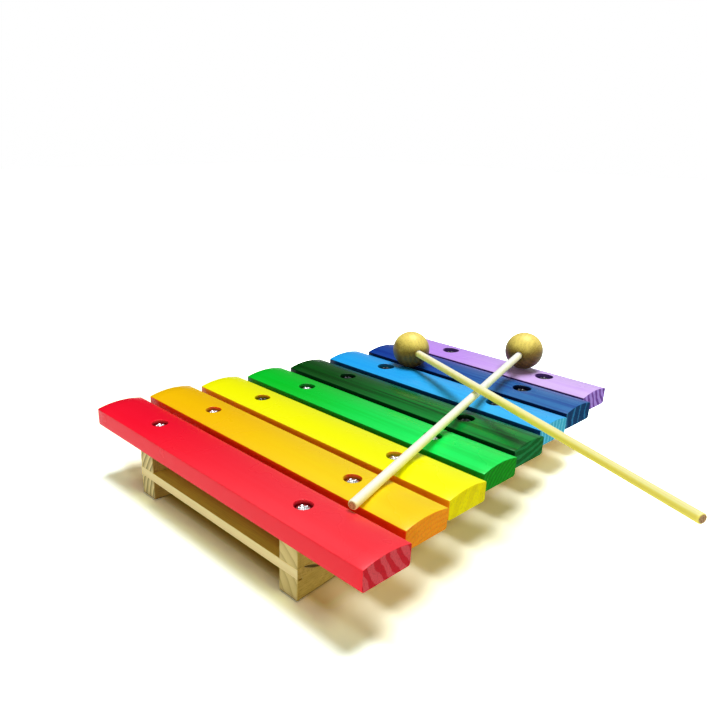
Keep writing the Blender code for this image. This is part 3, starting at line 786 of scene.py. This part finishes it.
left_low, left_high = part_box("left_cross_board")
right_low, right_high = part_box("right_cross_board")
for node, side in (("front_rail", -1), ("back_rail", 1)):
    low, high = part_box(node)
    length, height = high.x - low.x, high.z - low.z
    taper = math.atan2(high.y - low.y - RAIL_WIDTH, length)
    across = RAIL_WIDTH / math.cos(taper)
    slot_low, slot_high = left_low.z - low.z - SLOT_CLEARANCE, left_high.z - low.z + SLOT_CLEARANCE
    slot_in, slot_out = left_high.x - low.x + SLOT_CLEARANCE, right_low.x - low.x - SLOT_CLEARANCE
    chip_low = slot_low - CHIP_HEIGHT
    size = (length, across, height)
    along = lines_between(RAIL_ARRIS + FINE_STEP, slot_in, FINE_STEP)
    along += lines_between(slot_in, slot_out, LONG_STEP)
    along += lines_between(slot_out, length - RAIL_ARRIS, PLAIN_STEP) + list(CHIP_LENGTH)
    upright = lines_between(RAIL_ARRIS + FIRST_UP, chip_low, PLAIN_STEP)
    upright += [chip_low] + lines_between(slot_low, slot_high, SLOT_STEP)
    upright += lines_between(slot_high, height - RAIL_ARRIS, PLAIN_STEP)
    thick = lines_between(RAIL_ARRIS + FIRST_ACROSS, across - RAIL_ARRIS, THICK_STEP)
    if side < 0:
        thick.append(CHIP_DEPTH)
    grid = [eased(whole, RAIL_ARRIS, *lines) for whole, lines in zip(size, (along, thick, upright))]

    def solid(x, y, z):
        chipped = side < 0 and y < CHIP_DEPTH and CHIP_LENGTH[0] < x < CHIP_LENGTH[1]
        if chipped and chip_low < z < slot_low:
            return False
        return not (slot_low < z < slot_high and not slot_in < x < slot_out)

    verts, faces = block_mesh(size, grid, solid, RAIL_ARRIS, RAIL_WEAR, 3.1 * side)
    outer_start = low.y if side < 0 else high.y
    inner_end = high.y if side < 0 else low.y
    centre_start = outer_start - side * across / 2
    centre_end = inner_end + side * across / 2
    placed = []
    for vert in verts:
        share = vert.x / length
        centre = centre_start * (1 - share) + centre_end * share
        placed.append((low.x + vert.x, centre + (vert.y - across / 2), low.z + vert.z))
    pine = pine_material(node + "_pine", *PINES[node])
    add_piece("pine_" + node, placed, faces, pine, "stand", [node])

# Cross boards
# Thin sawn boards of paler wood, one at each end of the stand, let into slots in both rails.
# Their front edges and ends are cut off flush with the rails. The left one has a split in its near end.
BOARD_ARRIS = 0.15 * MM
BOARD_WEAR = 0.03 * MM
BOARD_RELIEF = 0.10 * MM
# For X, Y and Z: where a board's first points lie inside its rounded edge, and how far apart they lie
BOARD_MARGINS = (0.3 * MM, 0.6 * MM, 0.3 * MM)
BOARD_STEPS = (0.4 * MM, 2.0 * MM, 0.3 * MM)
# The split's two ends on the board's end, in from its outer edge and up from its underside
SPLIT_START = (4.2 * MM, 4.6 * MM)
SPLIT_END = (14.6 * MM, 0.1 * MM)
SPLIT_HALF_HEIGHT = 0.85 * MM
SPLIT_DEPTH = 0.6 * MM


def board_material():
    """Rough-sawn softwood, grain along Y: pale along its edges, and darker at the ends and on the flat.
    The ends are darker in part as painted shade, and painted shade deepens inward on the flat and fills the
    split.
    """
    material, tree, shader = new_material("sawn_board")
    point = grain_point(tree)
    rings = soft_wave(tree, ring_turn(tree, point, (4 * MM, -30 * MM), 2.2 * MM, 1.0))
    fibres = clouds(tree, point, (2400, 60, 2400), 4.0, 0.6)
    specks = clouds(tree, point, (1500, 700, 1500), 3.0, 0.6)
    wood = mix(tree, calc(tree, "MULTIPLY", rings, 0.35), (0.94, 0.80, 0.44), (0.78, 0.58, 0.25))
    wood = tint(tree, wood, fibres, 0.40, 0.80, (0.76, 0.54, 0.20), 0.25)
    wood = tint(tree, wood, specks, 0.55, 0.80, (0.98, 0.90, 0.62), 0.35)
    # The ends take the tone of the rails' shaded sides: in part painted shade
    wear_and_shade = tint(tree, (0.60, 0.42, 0.10), specks, 0.3, 0.7, (0.40, 0.25, 0.045))
    wood = mix(tree, faces_along(tree, "Y"), wood, wear_and_shade)
    # Painted shade on the flat: darker the further it runs in under the bars
    flat = tint(tree, (1.00, 0.76, 0.14), stored(tree, "inward"), 0.05, 0.85, (0.56, 0.25, 0.036))
    flat = tint(tree, flat, fibres, 0.40, 0.80, (0.42, 0.20, 0.03), 0.35)
    wood = mix(tree, faces_along(tree, "Z"), wood, flat)
    # Painted shade in the split: a near-black colour where it runs deepest
    wood = mix(tree, stored(tree, "split"), wood, (0.13, 0.085, 0.012))
    set_inputs(
        tree, shader,
        Base_Color=wood,
        Roughness=span(tree, fibres, 0.2, 0.8, 0.62, 0.85),
        Specular_IOR_Level=0.25,
        Normal=bump(tree, calc(tree, "ADD", specks, fibres), BOARD_RELIEF),
    )
    return material


def split_depth(x, z):
    """How deep the split is at a place on the board's end, from 0 to 1: a long narrow lens."""
    run = Vector(SPLIT_END) - Vector(SPLIT_START)
    off = Vector((x, z)) - Vector(SPLIT_START)
    share = off.dot(run) / run.length_squared
    if not 0 < share < 1:
        return 0.0
    half = SPLIT_HALF_HEIGHT * math.sin(math.pi * share) ** 0.7
    aside = (off.x * run.y - off.y * run.x) / run.length
    return max(0.0, 1 - (aside / half) ** 2)


board_wood = board_material()
boards = (("left_cross_board", left_low, left_high), ("right_cross_board", right_low, right_high))
for node, low, high in boards:
    points = np.array([vert.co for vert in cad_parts[node].data.vertices])
    start_line = points[points[:, 0] < low.x + 1 * MM]
    end_line = points[points[:, 0] > high.x - 1 * MM]
    start_span = (start_line[:, 1].min(), start_line[:, 1].max())
    end_span = (end_line[:, 1].min(), end_line[:, 1].max())
    length = start_span[1] - start_span[0]
    size = (high.x - low.x, length, high.z - low.z)
    grid = []
    for whole, margin, step in zip(size, BOARD_MARGINS, BOARD_STEPS):
        lines = lines_between(BOARD_ARRIS + margin, whole - BOARD_ARRIS, step)
        grid.append(eased(whole, BOARD_ARRIS, *lines))
    verts, faces = block_mesh(size, grid, lambda x, y, z: True, BOARD_ARRIS, BOARD_WEAR, low.x)
    placed, split_shades, shade_inward = [], [], []
    for vert in verts:
        share = vert.x / size[0]
        first = start_span[0] * (1 - share) + end_span[0] * share
        last = start_span[1] * (1 - share) + end_span[1] * share
        split_here = node == "left_cross_board" and vert.y < 0.5 * MM
        deep = split_depth(vert.x, vert.z) if split_here else 0.0
        y = first + (last - first) * vert.y / length + SPLIT_DEPTH * deep
        placed.append((low.x + vert.x, y, low.z + vert.z))
        split_shades.append(min(1.0, 2.5 * deep))
        shade_inward.append(share if node == "left_cross_board" else 1 - share)
    shares = {"split": split_shades, "inward": shade_inward}
    add_piece("sawn_" + node, placed, faces, board_wood, "stand", [node], shares=shares)

# Mallet heads
# Balls turned from hardwood and dipped in clear varnish. Each is bored from one side for its stick,
# and the bore's mouth has a small chamfer.
HEAD_RADIUS = 12.0 * MM
HEAD_INSET = 0.08 * MM
MOUTH_RADIUS = 3.0 * MM
MOUTH_CHAMFER = 0.5 * MM
BORE_RADIUS = 2.6 * MM
BORE_DEPTH = 16.4 * MM
TURNING_MARK = 0.012 * MM
VARNISH_RELIEF = 0.025 * MM
CENTRE_RADIUS = 0.05 * MM
HEAD_SEGMENTS = 96


def varnished_material():
    """Varnished hardwood with painted light and shade: bright yellow on top and near black below."""
    material, tree, shader = new_material("varnished_ball_painted_light")
    point = grain_point(tree, "Z", own=True)
    rings = soft_wave(tree, ring_turn(tree, point, (16 * MM, 9 * MM), 2.4 * MM, 1.6))
    fibres = clouds(tree, point, (1500, 140, 1500), 4.0, 0.65)
    flecks = clouds(tree, point, (1300, 260, 1300), 3.0, 0.6)
    bands = clouds(tree, point, (30, 2300, 30), 2.0)
    patches = clouds(tree, point, 90, 3.0)
    rise = parts_of(tree, add_node(tree, "ShaderNodeTexCoord").outputs["Object"])["Z"]
    rise = calc(tree, "MULTIPLY_ADD", calc(tree, "SUBTRACT", fibres, 0.5), 7 * MM, rise)
    rise = calc(tree, "MULTIPLY_ADD", calc(tree, "SUBTRACT", patches, 0.5), 8 * MM, rise)
    # Painted light and shade: by height in the ball, near black below, brown in the middle and yellow on top
    wood = tint(tree, (0.018, 0.009, 0.004), rise, -10 * MM, -3 * MM, (0.070, 0.042, 0.007))
    wood = tint(tree, wood, rise, -3 * MM, 2 * MM, (0.18, 0.105, 0.012))
    wood = tint(tree, wood, rise, 1 * MM, 9 * MM, (1.00, 0.80, 0.18))
    wood = mix(tree, calc(tree, "MULTIPLY", rings, 0.12), wood, (0.44, 0.23, 0.030))
    wood = tint(tree, wood, fibres, 0.50, 0.85, (0.34, 0.17, 0.020), 0.45)
    wood = tint(tree, wood, flecks, 0.55, 0.75, (0.26, 0.12, 0.020), 0.5)
    set_inputs(
        tree, shader,
        Base_Color=wood,
        Roughness=span(tree, patches, 0.2, 0.8, 0.36, 0.46),
        Specular_IOR_Level=0.8,
        Specular_Tint=(1.0, 0.84, 0.36, 1.0),
        Normal=bump(tree, calc(tree, "MULTIPLY_ADD", bands, 0.6, fibres), VARNISH_RELIEF),
    )
    return material


def axis_of(node):
    """The middle line of a round solid that is longer than it is wide: its two ends."""
    points = np.array([vert.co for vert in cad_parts[node].data.vertices])
    middle = points.mean(0)
    direction = np.linalg.svd(points - middle)[2][0]
    along = (points - middle) @ direction
    middle = Vector(middle)
    direction = Vector(direction)
    return middle + direction * float(along.min()), middle + direction * float(along.max())


varnished = varnished_material()
mallet_axes = {}
for name in ("lower_mallet", "upper_mallet"):
    low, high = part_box(name + "_head")
    near_middle = (low + high) / 2
    ends = sorted(axis_of(name + "_stick"), key=lambda end: (end - near_middle).length)
    direction = (ends[1] - ends[0]).normalized()
    middle = ends[0] + direction * (near_middle - ends[0]).dot(direction)
    mallet_axes[name] = (middle, direction, (ends[1] - middle).length, (ends[0] - middle).dot(direction))
    mouth_turn = math.acos(MOUTH_RADIUS / HEAD_RADIUS)
    mouth_height = HEAD_RADIUS * math.sin(mouth_turn)
    profile = [(CENTRE_RADIUS, HEAD_RADIUS - BORE_DEPTH), (BORE_RADIUS, HEAD_RADIUS - BORE_DEPTH)]
    profile += [(BORE_RADIUS, mouth_height - MOUTH_CHAMFER * share) for share in (2, 1)]
    profile += [(BORE_RADIUS + MOUTH_CHAMFER * 0.4, mouth_height - MOUTH_CHAMFER * 0.3)]
    for step in range(HEAD_SEGMENTS + 1):
        turn = mouth_turn + (-math.pi / 2 + 0.01 - mouth_turn) * step / HEAD_SEGMENTS
        radius = HEAD_RADIUS - HEAD_INSET - TURNING_MARK * (0.5 + 0.5 * math.sin(step * 2.3))
        profile.append((radius * math.cos(turn), radius * math.sin(turn)))
    own, faces = turned(profile, HEAD_SEGMENTS)
    turn_to = direction.to_track_quat("Z", "Y")
    verts = [turn_to @ Vector(vert) for vert in own]
    add_piece("ball_of_" + name, verts, faces, varnished, name, [name + "_head"],
              middle, 40, own=own)

# Mallet sticks
# Thin birch dowels, sanded but not varnished, glued into the balls and sawn square at the free end.
# One is a creamier piece of birch and the other a yellower one.
STICK_RADIUS = 2.3 * MM
STICK_WANDER = 0.05 * MM
# The tip's chamfer, and the bend in it: how far in from the side, and how far back from the tip
STICK_TIP_CHAMFER = 0.7 * MM
STICK_TIP_BEND = (0.20 * MM, 0.30 * MM)
STICK_TIP_INSET = 0.08 * MM
STICK_INSET = 0.02 * MM
STICK_SEGMENTS = 48
STICK_STATIONS = 120
BIRCH_RELIEF = 0.05 * MM
# Between these distances from the ball's middle a stick turns yellower
YELLOWER = (60 * MM, 130 * MM)
# For each stick, next to its ball and then at its tip: the colour of its top, of its flanks, which is
# painted shade, and of its fibres
BIRCHES = {
    "lower_mallet": (
        ((1.00, 1.00, 0.94), (1.00, 0.97, 0.50), (0.98, 0.97, 0.76)),
        ((1.00, 1.00, 0.92), (1.00, 0.96, 0.42), (0.98, 0.96, 0.66)),
    ),
    "upper_mallet": (
        ((1.00, 0.98, 0.74), (1.00, 0.90, 0.24), (0.97, 0.82, 0.34)),
        ((1.00, 0.98, 0.50), (1.00, 0.90, 0.14), (0.97, 0.78, 0.20)),
    ),
}


def birch_material(name, near_ball, near_tip):
    """Birch dowel, grain along Z: long faint fibres, painted shade away from its top, dark at the sawn tip.
    """
    material, tree, shader = new_material(name)
    point = grain_point(tree, "Z", own=True)
    fibres = clouds(tree, point, (2200, 28, 2200), 4.0, 0.6)
    streaks = clouds(tree, point, (620, 9, 620), 3.0)
    pores = clouds(tree, point, 3200, 3.0, 0.7)
    outward = span(tree, parts_of(tree, point)["Y"], *YELLOWER)
    top, shaded_flank, dark = (mix(tree, outward, *colours) for colours in zip(near_ball, near_tip))
    # Painted shade: the flanks and underside take the flank colour, and only the upward face stays pale
    pale = tint(tree, top, facing_of(tree)["Z"], 0.98, 0.30, shaded_flank)
    wood = tint(tree, pale, fibres, 0.40, 0.80, dark, 0.50)
    wood = tint(tree, wood, streaks, 0.45, 0.80, dark, 0.55)
    cut = tint(tree, (0.10, 0.040, 0.015), pores, 0.3, 0.7, (0.74, 0.46, 0.22))
    wood = mix(tree, stored(tree, "end"), wood, cut)
    height = calc(tree, "ADD", fibres, calc(tree, "MULTIPLY", pores, 0.3))
    set_inputs(
        tree, shader,
        Base_Color=wood,
        Roughness=span(tree, fibres, 0.2, 0.8, 0.48, 0.70),
        Specular_IOR_Level=0.25,
        Normal=bump(tree, height, BIRCH_RELIEF),
    )
    return material


for name, (middle, direction, reach, foot) in mallet_axes.items():
    reach -= STICK_TIP_INSET
    run = reach - STICK_TIP_CHAMFER - foot
    heights = [foot + run * step / STICK_STATIONS for step in range(STICK_STATIONS + 1)]
    profile = [(CENTRE_RADIUS, foot)] + [(STICK_RADIUS - STICK_INSET, height) for height in heights]
    profile += [(STICK_RADIUS - STICK_TIP_BEND[0], reach - STICK_TIP_BEND[1])]
    for radius in (STICK_RADIUS - STICK_TIP_CHAMFER, STICK_RADIUS * 0.6, CENTRE_RADIUS):
        profile.append((radius, reach))
    seed = len(name) + reach

    def tweak(x, y, z):
        """The dowel isn't quite straight or round."""
        bend = 1 - STICK_WANDER / STICK_RADIUS * wander(x * 300, y * 300, z * 40 + seed)
        return (x * bend, y * bend, z)

    own, faces = turned(profile, STICK_SEGMENTS, tweak)
    ends = [1.0 if point[2] > reach - 0.1 * MM else 0.0 for point in own]
    birch = birch_material(name + "_birch", *BIRCHES[name])
    turn_to = direction.to_track_quat("Z", "Y")
    verts = [turn_to @ Vector(point) for point in own]
    add_piece("stick_of_" + name, verts, faces, birch, name, [name + "_stick"],
              middle, 40, {"end": ends}, own)

# Floor, light and camera
# A plain white ground under a soft lamp that hangs nearly overhead, in a room that is brightest on the
# long bars' side. The ground shows white where nothing shades it, and its shade is warm.
LAMP_ELEVATION = math.radians(77)
LAMP_AZIMUTH = math.radians(5)
LAMP_SPREAD = math.radians(29)
LAMP_STRENGTH = 2.75
LAMP_COLOUR = (0.99, 1.00, 1.08)
ROOM_COLOUR = (1.00, 1.00, 0.74)
ROOM_DIM = 0.10
ROOM_BRIGHT = 3.00
# Which way from the stand the room is brightest, and how high up that ends
BRIGHT_SIDE = (-0.87, -0.50)
BRIGHT_UP_TO = (0.08, 0.45)
# How high up the white ceiling begins that gloss mirrors, above walls that are lighter on one side
CEILING_FROM = (0.55, 0.85)
MIRRORED_WALLS = (0.01, 0.40)
# The camera's focus and the middle of its view are in pixels of the picture
CAMERA_PLACE = Vector((-286.911, -206.201, 188.293)) * MM
CAMERA_TURN = math.radians(42.730)
CAMERA_DIP = math.radians(19.873)
CAMERA_ROLL = math.radians(0.830)
CAMERA_FOCUS = 702.44
CAMERA_CENTRE = (309.75, 381.78)
PICTURE_WIDTH = 707
# The outline of the stand's foot on the ground
STAND_HALF_LENGTH = 122.3 * MM
FRONT_LINE = -11.4 * MM
BACK_LINE = 93.8 * MM
STAND_TAPER = 0.0883
# Each painted shade sets in between two distances inward from the rails' outlines or from the stand's ends,
# where less than zero is outside the stand
BESIDE_RAILS = (-26 * MM, -9 * MM)
CLOSE_TO_RAILS = (-20 * MM, -7 * MM)
BEFORE_ENDS = (-5 * MM, 1 * MM)
BEHIND_ENDS = (1 * MM, 9 * MM)
UNDER_BARS = (2 * MM, 12 * MM)
UNDER_STAND = (0 * MM, 12 * MM)
# Between which places along the row of bars the shade beside the stand turns lighter
TO_SHORT_BARS = (20 * MM, 100 * MM)
# How bright the ground looks from the camera, against its own colour, in the open and in each painted shade
OPEN_GROUND = (2.75, 3.12, 2.95)
END_SHADE = (1.95, 1.90, 1.85)
BAR_SHADES = ((1.90, 1.90, 1.45), (3.40, 3.60, 3.00))
RAIL_SHADES = ((1.20, 1.00, 0.58), (2.20, 2.00, 1.40))
STAND_SHADE = (0.40, 0.28, 0.01)
GROUND_HALF_WIDTH = 3.0


def floor_material():
    """Matt white ground. The camera sees it lifted to pure white, but with painted shade beside and under
    the stand.
    """
    material, tree, shader = new_material("white_ground")
    point = grain_point(tree)
    dust = clouds(tree, point, 60, 4.0)
    path = add_node(tree, "ShaderNodeLightPath").outputs["Is Camera Ray"]
    plain = mix(tree, dust, (0.86, 0.86, 0.86), (0.84, 0.84, 0.84))
    axes = parts_of(tree, add_node(tree, "ShaderNodeTexCoord").outputs["Object"])
    front = calc(tree, "MULTIPLY_ADD", axes["X"], STAND_TAPER, FRONT_LINE)
    back = calc(tree, "MULTIPLY_ADD", axes["X"], -STAND_TAPER, BACK_LINE)
    to_front = calc(tree, "SUBTRACT", axes["Y"], front)
    to_back = calc(tree, "SUBTRACT", back, axes["Y"])
    to_ends = calc(tree, "SUBTRACT", STAND_HALF_LENGTH, calc(tree, "ABSOLUTE", axes["X"]))
    to_sides = calc(tree, "MINIMUM", to_front, to_back)
    beside, close_by = (span(tree, to_sides, *where) for where in (BESIDE_RAILS, CLOSE_TO_RAILS))
    near_end = calc(tree, "MULTIPLY", beside, span(tree, to_ends, *BEFORE_ENDS))
    near_rail = calc(tree, "MULTIPLY", close_by, span(tree, to_ends, *BEHIND_ENDS))
    by_short_bars = span(tree, axes["X"], *TO_SHORT_BARS)
    inside = calc(tree, "MINIMUM", to_sides, to_ends)
    # Painted shadow: the camera sees the ground darker at the ends, under the bars, by the rails and under
    # the stand
    seen = mix(tree, near_end, OPEN_GROUND, END_SHADE)
    seen = tint(tree, seen, to_ends, *UNDER_BARS, mix(tree, by_short_bars, *BAR_SHADES))
    seen = mix(tree, near_rail, seen, mix(tree, by_short_bars, *RAIL_SHADES))
    seen = tint(tree, seen, inside, *UNDER_STAND, STAND_SHADE)
    lift = mix(tree, path, (1.0, 1.0, 1.0), seen)
    set_inputs(
        tree, shader,
        Base_Color=calc_vector(tree, "MULTIPLY", plain, lift),
        Roughness=0.9,
        Specular_IOR_Level=0.0,
    )
    return material


ground = bpy.data.meshes.new("ground")
sides = ((-1, -1), (1, -1), (1, 1), (-1, 1))
corners = [(x * GROUND_HALF_WIDTH, y * GROUND_HALF_WIDTH, 0.0) for x, y in sides]
ground.from_pydata(corners, [], [(0, 1, 2, 3)])
ground.materials.append(floor_material())
floor = add_object("floor", ground)

world = bpy.data.worlds.new("pale_room")
bpy.context.scene.world = world
world.use_nodes = True
tree = world.node_tree
background = tree.nodes["Background"]
path = add_node(tree, "ShaderNodeLightPath").outputs
parts = parts_of(tree, add_node(tree, "ShaderNodeTexCoord").outputs["Generated"])
sideways = calc(tree, "MULTIPLY", parts["Y"], BRIGHT_SIDE[1])
towards = calc(tree, "MULTIPLY_ADD", parts["X"], BRIGHT_SIDE[0], sideways)
low_down = span(tree, parts["Z"], *BRIGHT_UP_TO, 1.0, 0.0)
share = calc(tree, "MULTIPLY", span(tree, towards, 0.0, 0.85), low_down)
strength = calc(tree, "MULTIPLY_ADD", share, ROOM_BRIGHT - ROOM_DIM, ROOM_DIM)
tinted = {0: ROOM_COLOUR, "Scale": strength}
room = add_node(tree, "ShaderNodeVectorMath", tinted, operation="SCALE").outputs[0]
walls = span(tree, calc(tree, "SUBTRACT", parts["X"], parts["Y"]), -0.3, 0.6, *MIRRORED_WALLS)
mirrored = tint(tree, walls, parts["Z"], *CEILING_FROM, (1.0, 1.0, 1.0))
room = mix(tree, path["Is Glossy Ray"], room, mirrored)
tree.links.new(mix(tree, path["Is Camera Ray"], room, (1.0, 1.0, 1.0)), background.inputs["Color"])

lamp_data = bpy.data.lights.new("overhead_lamp", "SUN")
lamp_data.angle = LAMP_SPREAD
lamp_data.energy = LAMP_STRENGTH
lamp_data.color = LAMP_COLOUR
lamp = add_object("overhead_lamp", lamp_data)
level_aim = Vector((math.cos(LAMP_AZIMUTH), math.sin(LAMP_AZIMUTH), 0.0))
aim_up = level_aim * math.cos(LAMP_ELEVATION) + Vector((0.0, 0.0, math.sin(LAMP_ELEVATION)))
lamp.location = aim_up
lamp.rotation_euler = aim_up.to_track_quat("Z", "Y").to_euler()

camera_data = bpy.data.cameras.new("camera")
camera_data.sensor_width = 36.0
camera_data.lens = CAMERA_FOCUS / PICTURE_WIDTH * camera_data.sensor_width
camera_data.shift_x = (PICTURE_WIDTH / 2 - CAMERA_CENTRE[0]) / PICTURE_WIDTH
camera_data.shift_y = (CAMERA_CENTRE[1] - PICTURE_WIDTH / 2) / PICTURE_WIDTH
camera_data.clip_start = 0.01
camera = add_object("camera", camera_data)
ahead = Vector((math.sin(CAMERA_TURN), math.cos(CAMERA_TURN), 0.0))
forward = ahead * math.cos(CAMERA_DIP) - Vector((0.0, 0.0, math.sin(CAMERA_DIP)))
level = Vector((math.cos(CAMERA_TURN), -math.sin(CAMERA_TURN), 0.0))
upright = level.cross(forward)
right = level * math.cos(CAMERA_ROLL) + upright * math.sin(CAMERA_ROLL)
up = upright * math.cos(CAMERA_ROLL) - level * math.sin(CAMERA_ROLL)
camera.matrix_world = Matrix((right, up, -forward)).transposed().to_4x4()
camera.location = CAMERA_PLACE
bpy.context.scene.camera = camera
bpy.context.scene.view_settings.view_transform = "Standard"
